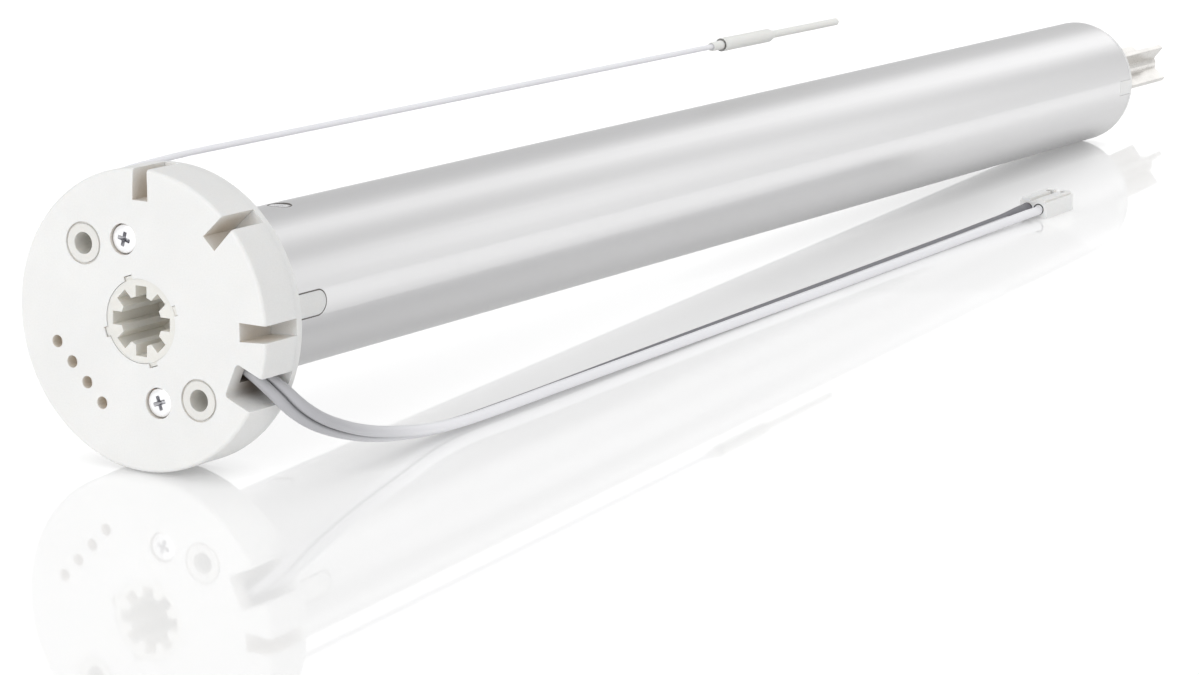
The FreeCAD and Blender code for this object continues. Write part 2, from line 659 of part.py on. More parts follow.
def inner_lead():
    points = (
        (5.7, *polar(GLAND_IN, NOTCH_ANGLE)),
        (5.7, *polar(LEAD_HOLE_RADIUS, NOTCH_ANGLE)),
        (20.0, *polar(LEAD_HOLE_RADIUS - 0.1, NOTCH_ANGLE)),
        (36.0, -7.4, -1.6),
        (51.0, -6.2, 1.0),
        (58.2, -6.0, 1.4),
    )
    return wire_along(points, 1.6, "inner_lead")


def motor_leads():
    runs = []
    for side in (-1, 1):
        y = 6.0 * side
        points = ((156, y, 3.2), (161, y, 3.2), (168, y, 4.0), (179, y, 4.05))
        runs.append(wire_along(points, 1.2, "motor_lead"))
    return group(*runs)


# ---- Aerial: a stiff sleeved wire that stands clear of the tube ----
# It comes up through the rim of the head on a slant, then runs back along the tube.
AERIAL_Z = 23.93
AERIAL_ROUTE = (
    (2.6, AERIAL_Y, 21.6),
    (6.2, AERIAL_Y, 23.32),
    (21.0, AERIAL_Y, AERIAL_Z),
    (199.5, AERIAL_Y, AERIAL_Z),
)


def aerial_channel():
    return wire_along(AERIAL_ROUTE, 2 * AERIAL_WIRE_R + 0.06, "aerial_channel")


def aerial_wire():
    return wire_along(AERIAL_ROUTE, 2 * AERIAL_WIRE_R, "aerial_wire")


def aerial_ferrule():
    return pipe(0.95, 0.7, 199.0, 199.5, AERIAL_Y, AERIAL_Z).fuse(rod(0.95, 199.5, 204.0, AERIAL_Y, AERIAL_Z))


def aerial_sleeve():
    body = rod(1.4, 203.0, 222.6, AERIAL_Y, AERIAL_Z).fuse(cone(1.4, 0.9, 222.6, 224.4, AERIAL_Y, AERIAL_Z))
    return carve(body, rod(1.15, 202.0, 204.0, AERIAL_Y, AERIAL_Z))


def aerial_rod():
    shaft = rod(0.8, 224.4, 253.0, AERIAL_Y, AERIAL_Z)
    return shaft.makeFillet(0.35, rim_edges(shaft, 253.0, 0.8))


PARTS = (
    head_cover, head_base, star_socket, bracket_bushes, cover_screws, cable_gland, motor_tube, tube_screws,
    board_tray, control_board, radio_module, board_chips, capacitors, choke, lead_header, motor_terminals,
    hall_board, end_bell, rear_bearing, motor_can, front_bearing, magnets, armature_core, windings,
    commutator, brushes, brush_springs, motor_shaft, encoder_magnet, damper_rings, brake_housing, brake_disc,
    brake_pad, brake_spring, gear_sleeve, sun_gear_1, carrier_1, sun_gear_2, carrier_2, end_cap,
    output_bearing, output_shaft, retaining_ring, power_cable, plug_housing, plug_contacts, inner_lead,
    motor_leads, aerial_wire, aerial_ferrule, aerial_sleeve, aerial_rod,
)


def main():
    os.makedirs("parts", exist_ok=True)
    shapes = {make.__name__: make() for make in PARTS}
    for stage in (0, 1):
        for step, letter in enumerate("abc"):
            shapes[f"planet_{stage + 1}_{letter}"] = planet(stage, step)
    for name, shape in shapes.items():
        if not shape.isValid() or not shape.Solids:
            print("BAD SHAPE", name)
        shape.exportStep(os.path.join("parts", name + ".step"))
    print(len(shapes), "nodes")


main()
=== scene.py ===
import json
import math

import bmesh
import bpy
from mathutils import Matrix, Vector


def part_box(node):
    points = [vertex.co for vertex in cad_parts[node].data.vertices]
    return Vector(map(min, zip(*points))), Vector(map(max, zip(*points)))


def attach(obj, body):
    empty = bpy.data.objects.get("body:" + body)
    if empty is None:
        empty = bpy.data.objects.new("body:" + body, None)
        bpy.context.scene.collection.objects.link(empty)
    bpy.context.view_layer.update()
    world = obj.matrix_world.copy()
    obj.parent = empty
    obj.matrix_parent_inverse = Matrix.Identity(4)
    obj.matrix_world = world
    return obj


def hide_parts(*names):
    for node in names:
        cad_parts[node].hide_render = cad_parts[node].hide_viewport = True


# Tubular roller shutter motor, lying on its head rim and on the far end of its tube.
# Metres, in the frame of the CAD model: +X runs from the head's face to the drive shaft.

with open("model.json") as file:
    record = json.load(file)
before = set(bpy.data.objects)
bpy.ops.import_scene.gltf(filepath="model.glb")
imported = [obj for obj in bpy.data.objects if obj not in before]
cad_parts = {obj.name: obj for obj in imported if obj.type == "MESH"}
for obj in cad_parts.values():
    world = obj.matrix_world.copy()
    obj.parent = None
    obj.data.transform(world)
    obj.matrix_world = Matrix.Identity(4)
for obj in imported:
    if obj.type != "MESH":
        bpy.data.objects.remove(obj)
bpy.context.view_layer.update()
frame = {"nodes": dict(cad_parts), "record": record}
MM = 0.001

# ---- Places read from the frame ----
HEAD_R = -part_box("head_base")[0].z
TUBE_R = -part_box("motor_tube")[0].z
TUBE_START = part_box("motor_tube")[0].x
TUBE_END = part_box("motor_tube")[1].x
RIM_SETBACK = 1.0 * MM              # the head touches the floor this far ahead of its back edge
REST_EDGE_X = TUBE_START - RIM_SETBACK
FLOOR_SLOPE = (HEAD_R - TUBE_R) / (TUBE_END - REST_EDGE_X)
FLOOR_UP = Vector((-FLOOR_SLOPE, 0, 1)).normalized()


def floor_z(x):
    return -HEAD_R + (x - REST_EDGE_X) * FLOOR_SLOPE


def polar(radius, degrees):
    angle = math.radians(degrees)
    return radius * math.cos(angle), radius * math.sin(angle)


# ---- Camera ----
CAMERA_AT = Vector((-0.5064, -0.3929, 0.1277))
CAMERA_AIM = Vector((0.0807, -0.0381, -0.0114))
LENS_MM = 120.4
SENSOR_MM = 36
CLIP_NEAR, CLIP_FAR = 0.01, 50


def matrix_facing(place, forward, up):
    """Looks from place along forward, with up as upright as it can be."""
    back = -forward.normalized()
    right = up.cross(back).normalized()
    true_up = back.cross(right)
    turn = Matrix((right, true_up, back)).transposed().to_4x4()
    return Matrix.Translation(place) @ turn


def make_camera():
    data = bpy.data.cameras.new("camera")
    data.lens = LENS_MM
    data.sensor_width = SENSOR_MM
    data.clip_start = CLIP_NEAR
    data.clip_end = CLIP_FAR
    camera = bpy.data.objects.new("camera", data)
    bpy.context.scene.collection.objects.link(camera)
    camera.matrix_world = matrix_facing(CAMERA_AT, CAMERA_AIM - CAMERA_AT, FLOOR_UP)
    bpy.context.scene.camera = camera


make_camera()


# ---- Making pieces ----
def add_mesh(name, shape, body, smooth_angle=35):
    """A new piece from a bmesh, riding on a body. Edges sharper than the angle stay sharp."""
    bmesh.ops.recalc_face_normals(shape, faces=shape.faces)
    mesh = bpy.data.meshes.new(name)
    shape.to_mesh(mesh)
    shape.free()
    piece = bpy.data.objects.new(name, mesh)
    bpy.context.scene.collection.objects.link(piece)
    mesh.shade_smooth()
    mesh.set_sharp_from_angle(angle=math.radians(smooth_angle))
    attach(piece, body)
    return piece


def loft(rings):
    """A skin over equal rings of points, closed at both ends."""
    shape = bmesh.new()
    made = [[shape.verts.new(place) for place in ring] for ring in rings]
    count = len(rings[0])
    for first, second in zip(made, made[1:]):
        for i in range(count):
            j = (i + 1) % count
            shape.faces.new((first[i], first[j], second[j], second[i]))
    shape.faces.new(list(reversed(made[0])))
    shape.faces.new(made[-1])
    return shape


def hoop(shape, middle, along, across, profile, steps):
    """Adds a ring about the axis along. The profile is (distance along, radius) pairs in millimetres."""
    up = along.cross(across)
    rings = []
    for step in range(steps):
        a, u = polar(1, 360 * step / steps)
        outward = across * a + up * u
        rings.append([shape.verts.new(middle + along * d * MM + outward * r * MM) for d, r in profile])
    for first, second in zip(rings, rings[1:] + rings[:1]):
        for i in range(len(profile)):
            j = (i + 1) % len(profile)
            shape.faces.new((first[i], first[j], second[j], second[i]))


# ---- The lead: a flat twin lead that leaves the notch and lies on the floor ----
NOTCH_ANGLE = 202.5
GLAND_OUT = 16.4 * MM               # distance of the gland's outer face from the axis
GLAND_ASIDE = 1.0 * MM              # how far the lead stands above the notch's middle
PLUG_ENTRY_H = 1.9 * MM             # height of the plug's wire holes over the floor
LEAD_REST_H = 1.4 * MM              # height of the route over the floor
LEAD_STEPS = 48                     # points round the lead
CORE_R = 0.96 * MM                  # radius of one core's sheath
CORE_SPREAD = 0.94 * MM             # distance of each core from the middle of the lead
PLUG_PITCH = 2.7 * MM               # between the cores where they enter the plug
SPLIT_LENGTH = 14 * MM              # length over which the cores part
WEB = 0.30 * MM                     # half the thickness of the web between the cores
WEB_AT_PLUG = 0.15 * MM
SETTLE_START = 30 * MM              # from here on the lead comes down to lie on the floor,
SETTLE_LENGTH = 30 * MM             # over this length


def beside_notch_middle(radius):
    """(y, z) on the line along which the lead leaves the gland."""
    along = polar(radius, NOTCH_ANGLE)
    aside = polar(GLAND_ASIDE, NOTCH_ANGLE - 90)
    return along[0] + aside[0], along[1] + aside[1]


LEAD_ROUTE = (
    (0.0051, *beside_notch_middle(GLAND_OUT)),
    (0.0051, *beside_notch_middle(0.0230)),
    (0.0087, -0.0267, -0.0142),
    (0.0190, -0.0288, -0.0183),
    (0.0310, -0.0294, floor_z(0.0310) + 0.0037),
    (0.0470, -0.0283, floor_z(0.0470) + LEAD_REST_H),
    (0.0700, -0.0290, floor_z(0.0700) + LEAD_REST_H),
    (0.1080, -0.0291, floor_z(0.1080) + LEAD_REST_H),
    (0.1520, -0.0295, floor_z(0.1520) + LEAD_REST_H),
    (0.1960, -0.0300, floor_z(0.1960) + LEAD_REST_H),
    (0.2320, -0.0306, floor_z(0.2320) + LEAD_REST_H),
    (0.2530, -0.0317, floor_z(0.2530) + PLUG_ENTRY_H),
    (0.2695, -0.0323, floor_z(0.2695) + PLUG_ENTRY_H),
)


def points_on_route(name, route, resolution):
    """Points of the NURBS curve that has the route as its control points, in order."""
    data = bpy.data.curves.new(name, "CURVE")
    data.dimensions = "3D"
    data.resolution_u = resolution
    spline = data.splines.new("NURBS")
    spline.points.add(len(route) - 1)
    for point, place in zip(spline.points, route):
        point.co = (*place, 1)
    spline.order_u = 3
    spline.use_endpoint_u = True
    guide = bpy.data.objects.new(name, data)
    bpy.context.scene.collection.objects.link(guide)
    mesh = bpy.data.meshes.new_from_object(guide)
    points = [v.co.copy() for v in mesh.vertices]
    bpy.data.objects.remove(guide)
    bpy.data.meshes.remove(mesh)
    return points


def smooth_step(t):
    t = min(max(t, 0.0), 1.0)
    return t * t * (3 - 2 * t)


# How the flat lead rolls as it goes, as (distance along it, angle of its second core about the axis X,
# from +Y towards +Z). It leaves the notch with that core at its front and underneath, and it has rolled
# flat further along.
LEAD_ROLL = ((0.000, -115), (0.004, -92), (0.008, -71), (0.012, -57), (0.016, -48), (0.020, -41),
             (0.025, -35), (0.036, -30), (0.043, -24), (0.052, -20), (0.085, -20), (0.120, -11),
             (0.190, 0), (0.250, 4), (0.275, 10))


def lead_roll(distance):
    for (d0, a0), (d1, a1) in zip(LEAD_ROLL, LEAD_ROLL[1:]):
        if distance < d1:
            return math.radians(a0 + (a1 - a0) * (distance - d0) / (d1 - d0))
    return math.radians(LEAD_ROLL[-1][1])


def lead_section(spread, web):
    """Two round cores side by side, as (across, up) in the lead's section. The second core is at +across."""
    outline = []
    for step in range(LEAD_STEPS):
        angle = 2 * math.pi * (step + 0.5) / LEAD_STEPS
        across, up = math.cos(angle), math.sin(angle)
        inside = CORE_R ** 2 - (spread * up) ** 2
        reach = spread * abs(across) + math.sqrt(inside) if inside > 0 else 0
        reach = max(reach, web)
        outline.append((reach * across, reach * up))
    return outline


def lead_shape(path):
    travelled = [0.0]
    for a, b in zip(path, path[1:]):
        travelled.append(travelled[-1] + (b - a).length)
    total = travelled[-1]
    rings = []
    for i, place in enumerate(path):
        heading = (path[min(i + 1, len(path) - 1)] - path[max(i - 1, 0)]).normalized()
        roll = lead_roll(travelled[i])
        up = Vector((0, -math.sin(roll), math.cos(roll)))
        up = (up - heading * up.dot(heading)).normalized()
        across = up.cross(heading)
        split = smooth_step((travelled[i] - total + SPLIT_LENGTH) / SPLIT_LENGTH)
        spread = CORE_SPREAD + (PLUG_PITCH / 2 - CORE_SPREAD) * split
        web = WEB + (WEB_AT_PLUG - WEB) * split
        settled = smooth_step((travelled[i] - SETTLE_START) / SETTLE_LENGTH) * (1 - split)
        drop = LEAD_REST_H - CORE_R - spread * abs(math.sin(roll))
        middle = place - FLOOR_UP * drop * settled
        rings.append([middle + across * a + up * u for a, u in lead_section(spread, web)])
    return loft(rings)


# The plug: where its wire holes are, and its three directions.
PLUG_AT = Vector(LEAD_ROUTE[-1])
PLUG_ALONG = (PLUG_AT - Vector(LEAD_ROUTE[-2])).normalized()
PLUG_ACROSS = FLOOR_UP.cross(PLUG_ALONG).normalized()
PLUG_UP = PLUG_ALONG.cross(PLUG_ACROSS)
HOLE_SHADOW_PROFILE = ((-0.03, 1.00), (-0.03, 1.22), (0.30, 1.22), (0.30, 1.00))
HOLE_SHADOW_STEPS = 32


def wire_hole_shadows():
    """Dark rings at the rims of the two holes in the plug that the cores go into: painted shadow in the
    holes.
    """
    shape = bmesh.new()
    for side in (-1, 1):
        middle = PLUG_AT + PLUG_ACROSS * side * PLUG_PITCH / 2
        hoop(shape, middle, PLUG_ALONG, PLUG_ACROSS, HOLE_SHADOW_PROFILE, HOLE_SHADOW_STEPS)
    return shape


lead_path = points_on_route("lead_route", LEAD_ROUTE, resolution=20)
lead = add_mesh("lead", lead_shape(lead_path), "motor_body", smooth_angle=60)
hole_shadows = add_mesh("wire_hole_shadows", wire_hole_shadows(), "motor_body")
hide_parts("power_cable")


# ---- Cover screws: pan heads with a cross recess ----
SCREW_AT_RADIUS = 13.6 * MM         # distance of the screws from the axis
SCREW_ANGLES = (75, 255)
SCREW_TURNS = (14, -20)             # how far each cross is turned from upright
SCREW_STEPS = 96
# From the tip to the middle of the head, as (depth from the face, radius), in millimetres.
SCREW_PROFILE = ((9.6, 0.9), (9.3, 1.25), (1.9, 1.25), (1.9, 2.42), (0.70, 2.42), (0.48, 2.32),
                 (0.34, 2.05), (0.28, 1.6), (0.26, 1.35))
# The cross recess, as (depth from the face, reach of its arms, half their width), in millimetres.
RECESS_PROFILE = ((0.26, 1.25, 0.36), (0.40, 1.15, 0.30), (1.30, 0.36, 0.20))
LEAST_SINE = 0.001                  # keeps the division below from running to infinity


def cross_reach(degrees, reach, half_width):
    """How far a cross-shaped recess reaches from its middle in one direction."""
    off = math.radians((degrees + 45) % 90 - 45)
    return min(reach, half_width / max(abs(math.sin(off)), LEAST_SINE))


def screw_shape(y, z, turn):
    """From the tip of the shank over the head to the bottom of the recess."""
    sections = [(x, lambda degrees, r=radius: r) for x, radius in SCREW_PROFILE]
    sections += [(x, lambda degrees, r=reach, w=half: cross_reach(degrees, r, w))
                 for x, reach, half in RECESS_PROFILE]
    rings = []
    for x, reach_at in sections:
        ring = []
        for step in range(SCREW_STEPS):
            degrees = 360 * step / SCREW_STEPS
            dy, dz = polar(reach_at(degrees) * MM, degrees + turn)
            ring.append(Vector((x * MM, y + dy, z + dz)))
        rings.append(ring)
    return loft(rings)


screws = []
for number, (angle, turn) in enumerate(zip(SCREW_ANGLES, SCREW_TURNS), 1):
    shape = screw_shape(*polar(SCREW_AT_RADIUS, angle), turn)
    screws.append(add_mesh(f"cross_screw_{number}", shape, "motor_body", smooth_angle=30))
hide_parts("cover_screws")


# ---- Shadow gaps in the tube: dark bands of painted shadow over the real gaps round the two keys in its U slots, and round its screws ----
KEY_HALF_W = 2.2 * MM
KEY_TIP = 32.3 * MM
TUBE_SCREW_X = 38.3 * MM
TUBE_SCREW_HOLE_R = 2.05 * MM
GAP_HALF_W = 0.12 * MM
GAP_DEPTH = 0.3 * MM
GAP_PROUD = 0.005 * MM              # the dark bands lie this much over the tube, to show on it
KEY_ANGLES = (0, 180)
TUBE_SCREW_ANGLES = (90, 270)
KEY_STEPS = 24                      # points round the end of a key
HOLE_STEPS = 32                     # and round a screw hole


def key_outline(grow):
    """The U round a key, as (x, distance round the tube) points."""
    half = KEY_HALF_W + grow
    centre = KEY_TIP - KEY_HALF_W
    outline = [(TUBE_START, -half)]
    for step in range(KEY_STEPS + 1):
        dx, around = polar(half, -90 + 180 * step / KEY_STEPS)
        outline.append((centre + dx, around))
    outline.append((TUBE_START, half))
    return outline


def screw_outline(grow):
    """The circle round a screw, as (x, distance round the tube) points."""
    places = [polar(TUBE_SCREW_HOLE_R + grow, 360 * step / HOLE_STEPS) for step in range(HOLE_STEPS + 1)]
    return [(TUBE_SCREW_X + dx, around) for dx, around in places]


def gap_shape(outline, middle_degrees):
    """A thin dark band along an outline, bent round the tube at an angle about its axis: painted shadow in a
    gap.
    """
    top, bottom = TUBE_R + GAP_PROUD, TUBE_R - GAP_DEPTH + GAP_PROUD
    rings = []
    for outer, inner in zip(outline(GAP_HALF_W), outline(-GAP_HALF_W)):
        ring = []
        for (x, around), radius in ((outer, top), (inner, top), (inner, bottom), (outer, bottom)):
            y, z = polar(radius, middle_degrees + math.degrees(around / TUBE_R))
            ring.append(Vector((x, y, z)))
        rings.append(ring)
    return loft(rings)


tube_gap_shadows = [add_mesh(f"key_gap_shadow_{degrees}", gap_shape(key_outline, degrees), "motor_body")
             for degrees in KEY_ANGLES]
tube_gap_shadows += [add_mesh(f"screw_gap_shadow_{degrees}", gap_shape(screw_outline, degrees), "motor_body") for degrees in TUBE_SCREW_ANGLES]


# ---- The end cap's thin rim, over the tube's cut edge ----
# Its section, as (distance from the tube's end, radius), in millimetres.
CAP_RIM_PROFILE = ((-0.70, 13.6), (-0.70, 14.01), (-0.15, 14.01), (0.0, 13.9), (0.0, 13.6))
CAP_RIM_STEPS = 128


def cap_rim():
    shape = bmesh.new()
    middle = Vector((TUBE_END, 0, 0))
    hoop(shape, middle, Vector((1, 0, 0)), Vector((0, 1, 0)), CAP_RIM_PROFILE, CAP_RIM_STEPS)
    return shape


rim = add_mesh("cap_rim", cap_rim(), "motor_body", smooth_angle=60)


# ---- Softer edges on the CAD nodes ----
WELD_WITHIN = 0.001 * MM
FLAT_WITHIN = 0.5                   # degrees: faces this close to one plane become one face
SOFTEN_FROM = 35                    # degrees: edges at least this sharp are rounded


def soften(name, width):
    """Rounds a node's edges a little, as moulding and deburring leave them."""
    piece = frame["nodes"][name]
    weld = piece.modifiers.new("weld", "WELD")
    weld.merge_threshold = WELD_WITHIN
    merge = piece.modifiers.new("merge", "DECIMATE")
    merge.decimate_type = "DISSOLVE"
    merge.angle_limit = math.radians(FLAT_WITHIN)
    bevel = piece.modifiers.new("bevel", "BEVEL")
    bevel.width = width
    bevel.segments = 2
    bevel.limit_method = "ANGLE"
    bevel.angle_limit = math.radians(SOFTEN_FROM)
    bevel.harden_normals = True
    weighted = piece.modifiers.new("normals", "WEIGHTED_NORMAL")
    weighted.keep_sharp = True


SOFT_EDGES = {
    "head_cover": 0.12 * MM,
    "head_base": 0.12 * MM,
    "star_socket": 0.10 * MM,
    "bracket_bushes": 0.10 * MM,
    "end_cap": 0.12 * MM,
    "output_shaft": 0.08 * MM,
    "plug_housing": 0.25 * MM,
    "motor_tube": 0.10 * MM,
    "aerial_ferrule": 0.10 * MM,
    "aerial_sleeve": 0.20 * MM,
}
for name, width in SOFT_EDGES.items():
    soften(name, width)


# ---- Parts of materials ----
OCCLUSION_SAMPLES = 6


def new_material(name, colour, roughness, metallic=0.0):
    material = bpy.data.materials.new(name)
    material.use_nodes = True
    shader = material.node_tree.nodes["Principled BSDF"]
    shader.inputs["Base Color"].default_value = (*colour, 1)
    shader.inputs["Roughness"].default_value = roughness
    shader.inputs["Metallic"].default_value = metallic
    return material, material.node_tree, shader


def node(tree, kind, **sockets):
    made = tree.nodes.new(kind)
    for key, value in sockets.items():
        made.inputs[key].default_value = value
    return made


def object_coordinates(tree, stretch=(1, 1, 1)):
    """Object coordinates, scaled along each axis."""
    source = tree.nodes.new("ShaderNodeTexCoord")
    mapping = node(tree, "ShaderNodeMapping", Scale=stretch)
    tree.links.new(source.outputs["Object"], mapping.inputs["Vector"])
    return mapping.outputs["Vector"]


def noise(tree, vector, scale, detail=3.0, roughness=0.55):
    made = node(tree, "ShaderNodeTexNoise", Scale=scale, Detail=detail, Roughness=roughness)
    tree.links.new(vector, made.inputs["Vector"])
    return made.outputs["Fac"]


def remap(tree, value, start, end, low=0.0, high=1.0, smooth=False):
    """Goes from low to high as a value goes from start to end, and stays there outside them."""
    made = node(tree, "ShaderNodeMapRange")
    if smooth:
        made.interpolation_type = "SMOOTHSTEP"
    made.inputs["From Min"].default_value = start
    made.inputs["From Max"].default_value = end
    made.inputs["To Min"].default_value = low
    made.inputs["To Max"].default_value = high
    tree.links.new(value, made.inputs["Value"])
    return made.outputs["Result"]


def between(tree, factor, low, high):
    """Maps a 0..1 signal to low..high."""
    return remap(tree, factor, 0.0, 1.0, low, high)


def tint(tree, factor, first, second, start=0.3, end=0.7):
    """A colour that goes from first to second as the factor goes from start to end."""
    ramp = tree.nodes.new("ShaderNodeValToRGB")
    ramp.color_ramp.elements[0].position = start
    ramp.color_ramp.elements[0].color = (*first, 1)
    ramp.color_ramp.elements[1].position = end
    ramp.color_ramp.elements[1].color = (*second, 1)
    tree.links.new(factor, ramp.inputs["Fac"])
    return ramp.outputs["Color"]


def bump(tree, shader, height, distance):
    made = node(tree, "ShaderNodeBump", Strength=1.0, Distance=distance)
    tree.links.new(height, made.inputs["Height"])
    tree.links.new(made.outputs["Normal"], shader.inputs["Normal"])


def shade(colour, factor):
    return tuple(min(1.0, c * factor) for c in colour)


def blend_colours(tree, factor, first, second):
    """Mixes two colour outputs, from first to second as the factor goes from 0 to 1."""
    mix = tree.nodes.new("ShaderNodeMix")
    mix.data_type = "RGBA"
    tree.links.new(factor, mix.inputs["Factor"])
    tree.links.new(first, mix.inputs["A"])
    tree.links.new(second, mix.inputs["B"])
    return mix.outputs["Result"]


def plain_colour(tree, colour):
    made = tree.nodes.new("ShaderNodeRGB")
    made.outputs["Color"].default_value = (*colour, 1)
    return made.outputs["Color"]


def occlusion(tree, reach, own_piece_only):
    """Near 0 where surfaces within reach close a place in, 1 where it is open."""
    around = node(tree, "ShaderNodeAmbientOcclusion", Distance=reach)
    around.samples = OCCLUSION_SAMPLES
    around.only_local = own_piece_only
    return around.outputs["AO"]


def openness(tree, reach, closed, open_from):
    """How open the surface is to the room: 0 deep in a slot or groove of its own piece, 1 on an open face."""
    return remap(tree, occlusion(tree, reach, True), closed, open_from)


# ---- Kinds of material ----
MOTTLE_SIZE = 14 * MM               # of the broad variation in moulded plastic
FLECK = 0.84                        # how dark the flecks in it are
GLOSS_SWING = 0.06                  # how much its roughness goes up and down
SHADE_BROWN = (0.16, 0.11, 0.075)    # of its spots of painted shade
SHEATH_GRAIN = 0.6 * MM
# The lead's painted shade beside the head fades out between these distances from the head's face
NEAR_HEAD, CLEAR_OF_HEAD = 6 * MM, 45 * MM
DRAWN_CLOUD = 22 * MM               # size of the broad variation in drawn metal
CAST_CLOUD = 3 * MM                 # and in cast metal
WAVE_PERIOD = math.pi / 10          # of Blender's wave texture at a scale of 1
DIE_LINES = (4, 2600, 2600)         # stretch of the tube's fine lines, and of its broad variation
TUBE_CLOUD = (6, 60, 60)


def moulded_plastic(name, colour, roughness, grain=0.35 * MM, depth=0.006 * MM, mottle=0.03, subsurface=0.0,
                    recess_light_and_shade=None, reach=5 * MM, shade_spots=()):
    """Moulded plastic with a fine eroded grain, faint mottling and slightly uneven gloss.

    Where it has a colour for its hollows, its slots and recesses go towards that, as deep as reach: painted
    shade where that colour is darker, and painted light where it is lighter.
    Spots of painted shade are (place, inner radius, outer radius): there it goes to a dark brown."""
    material, tree, shader = new_material(name, colour, roughness)
    where = object_coordinates(tree)
    fine = noise(tree, where, 1 / grain, detail=2.0, roughness=0.6)
    broad = noise(tree, where, 1 / MOTTLE_SIZE, detail=2.0)
    surface = tint(tree, broad, shade(colour, 1 - mottle), shade(colour, 1 + mottle / 2))
    flecks = plain_colour(tree, shade(colour, FLECK))
    surface = blend_colours(tree, between(tree, fine, 0.0, 0.5), surface, flecks)
    # Painted shade, or painted light, in the piece's own slots and recesses, from its colour for hollows
    if recess_light_and_shade:
        clear = openness(tree, reach, closed=0.10, open_from=0.85)
        surface = blend_colours(tree, clear, plain_colour(tree, recess_light_and_shade), surface)
    # Spots of painted shade, in a dark brown
    for place, inner, outer in shade_spots:
        away = tree.nodes.new("ShaderNodeVectorMath")
        away.operation = "DISTANCE"
        away.inputs[1].default_value = place
        tree.links.new(where, away.inputs[0])
        clear = remap(tree, away.outputs["Value"], inner, outer, smooth=True)
        surface = blend_colours(tree, clear, plain_colour(tree, SHADE_BROWN), surface)
    tree.links.new(surface, shader.inputs["Base Color"])
    gloss = between(tree, fine, roughness - GLOSS_SWING, roughness + GLOSS_SWING)
    tree.links.new(gloss, shader.inputs["Roughness"])
    bump(tree, shader, fine, depth)
    if subsurface:
        shader.inputs["Subsurface Weight"].default_value = subsurface
        shader.inputs["Subsurface Radius"].default_value = (1.0, 0.9, 0.8)
        shader.inputs["Subsurface Scale"].default_value = 1.0 * MM
    return material


def lead_plastic(name, shade_near_head, far, groove):
    """A flexible sheath of the far colour, with painted shade: the near colour beside the head, where the
    head shades it, and the groove colour in its groove.
    """
    material, tree, shader = new_material(name, far, roughness=0.40)
    where = object_coordinates(tree)
    place = tree.nodes.new("ShaderNodeSeparateXYZ")
    tree.links.new(where, place.inputs["Vector"])
    # Painted shade beside the head, fading out further along the lead
    along = remap(tree, place.outputs["X"], NEAR_HEAD, CLEAR_OF_HEAD, smooth=True)
    surface = blend_colours(tree, along, plain_colour(tree, shade_near_head), plain_colour(tree, far))
    # Painted shade in the groove between the cores
    clear = openness(tree, 1.2 * MM, closed=0.35, open_from=0.85)
    surface = blend_colours(tree, clear, plain_colour(tree, groove), surface)
    tree.links.new(surface, shader.inputs["Base Color"])
    fine = noise(tree, where, 1 / SHEATH_GRAIN, detail=2.0, roughness=0.6)
    tree.links.new(between(tree, fine, 0.33, 0.45), shader.inputs["Roughness"])
    bump(tree, shader, fine, 0.006 * MM)
    return material


def drawn_metal(name, colour, roughness, lines=(25, 1600, 1600), depth=0.002 * MM, spread=0.06, metallic=1.0):
    """Metal with fine lines along one axis, as drawing, turning or brushing leaves."""
    material, tree, shader = new_material(name, colour, roughness, metallic)
    fine = noise(tree, object_coordinates(tree, lines), 1.0, detail=4.0, roughness=0.6)
    broad = noise(tree, object_coordinates(tree), 1 / DRAWN_CLOUD, detail=2.0)
    tree.links.new(tint(tree, broad, shade(colour, 0.97), shade(colour, 1.02)), shader.inputs["Base Color"])
    tree.links.new(between(tree, fine, roughness - spread, roughness + spread), shader.inputs["Roughness"])
    bump(tree, shader, fine, depth)
    return material


def cast_metal(name, colour, roughness, pit=0.5 * MM, depth=0.03 * MM, recess_light_and_shade=None):
    """Cast metal: pitted, and with painted shade in another colour towards its inner corners, where it has a
    colour for its hollows.
    """
    material, tree, shader = new_material(name, colour, roughness, metallic=1.0)
    where = object_coordinates(tree)
    pits = noise(tree, where, 1 / pit, detail=5.0, roughness=0.7)
    broad = noise(tree, where, 1 / CAST_CLOUD)
    surface = tint(tree, broad, shade(colour, 0.90), shade(colour, 1.04))
    # Painted shade towards the inner corners
    if recess_light_and_shade:
        clear = openness(tree, 5 * MM, closed=0.35, open_from=0.80)
        surface = blend_colours(tree, clear, plain_colour(tree, recess_light_and_shade), surface)
    tree.links.new(surface, shader.inputs["Base Color"])
    tree.links.new(between(tree, pits, roughness - 0.08, roughness + 0.15), shader.inputs["Roughness"])
    bump(tree, shader, pits, depth)
    return material


def ringed(name, colour, dark, period, roughness, metallic, axis="X"):
    """A surface made of thin sheets or turns, seen edge-on along one axis."""
    material, tree, shader = new_material(name, colour, roughness, metallic)
    wave = node(tree, "ShaderNodeTexWave", Scale=WAVE_PERIOD / period, Distortion=0.4)
    wave.inputs["Detail Scale"].default_value = 3.0
    wave.bands_direction = axis
    tree.links.new(object_coordinates(tree), wave.inputs["Vector"])
    surface = tint(tree, wave.outputs["Fac"], dark, colour, start=0.1, end=0.6)
    tree.links.new(surface, shader.inputs["Base Color"])
    bump(tree, shader, wave.outputs["Fac"], 0.05 * MM)
    return material


